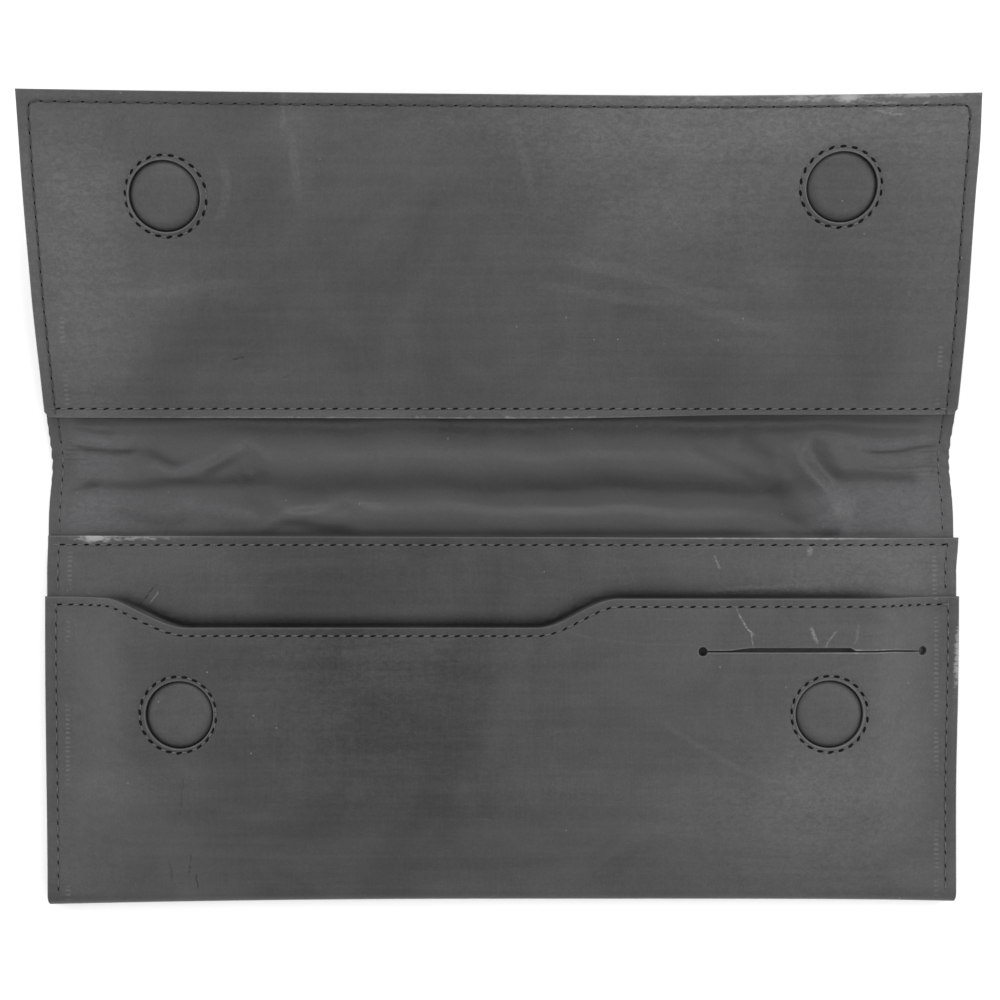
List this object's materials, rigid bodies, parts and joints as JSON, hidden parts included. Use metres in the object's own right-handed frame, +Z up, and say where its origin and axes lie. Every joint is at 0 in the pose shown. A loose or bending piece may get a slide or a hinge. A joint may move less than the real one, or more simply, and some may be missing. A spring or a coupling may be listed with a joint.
{
  "type": "travel pouch",
  "caption": "Long leather travel pouch lying open, with a pocket behind a pocket, a card slot, a supple spine and a flap closed by covered magnets.",
  "frame": {"origin": "on the table under the middle of the open pouch, half way from the bottom fold to the flap's free edge", "axes": "+X across the pouch to the card slot's side, +Y from the bottom fold to the flap, +Z up from the table, out of the pockets' side"},
  "size_m": [0.24, 0.2086, 0.0257],
  "materials": {
    "leather": "waxed, fine grain, soft sheen, lightly scuffed",
    "lining": "thin, supple and creased, soft sheen",
    "thread": "waxed thread, matt",
    "backing": "matt bonded backing",
    "magnet": "nickel plated"
  },
  "bodies": {
    "pouch": {"pouch_skin": "leather", "back_lining": "lining", "pocket_panel": "leather", "front_lining": "lining", "card_slot_sheet": "backing", "mouth_seam": "thread", "pocket_panel_seam": "thread", "side_seam_left": "thread", "side_seam_right": "thread", "magnet_front_left": "magnet", "magnet_cover_front_left": "leather", "magnet_seam_front_left": "thread", "magnet_patch_left": "backing", "magnet_front_right": "magnet", "magnet_cover_front_right": "leather", "magnet_seam_front_right": "thread", "magnet_patch_right": "backing"},
    "spine": {"spine_skin": "leather", "spine_lining": "lining", "spine_seam_left": "thread", "spine_seam_right": "thread"},
    "flap": {"flap_skin": "leather", "flap_lining": "lining", "flap_interlining": "backing", "flap_panel": "leather", "flap_edge_seam": "thread", "flap_hem_seam": "thread", "magnet_flap_left": "magnet", "magnet_cover_flap_left": "leather", "magnet_seam_flap_left": "thread", "magnet_flap_right": "magnet", "magnet_cover_flap_right": "leather", "magnet_seam_flap_right": "thread"}
  },
  "joints": [
    {"name": "spine_fold", "type": "hinge", "parent": "pouch", "child": "spine", "pos_m": [0, 0.00571, 0.002], "axis": [1, 0, 0], "range_deg": [-7, 83]},
    {"name": "flap_fold", "type": "hinge", "parent": "spine", "child": "flap", "pos_m": [0, 0.02308, 0.00413], "axis": [1, 0, 0], "range_deg": [-7, 83]}
  ],
  "couplings": [
    {"joint": "flap_fold", "follows": "spine_fold", "ratio": 1}
  ]
}
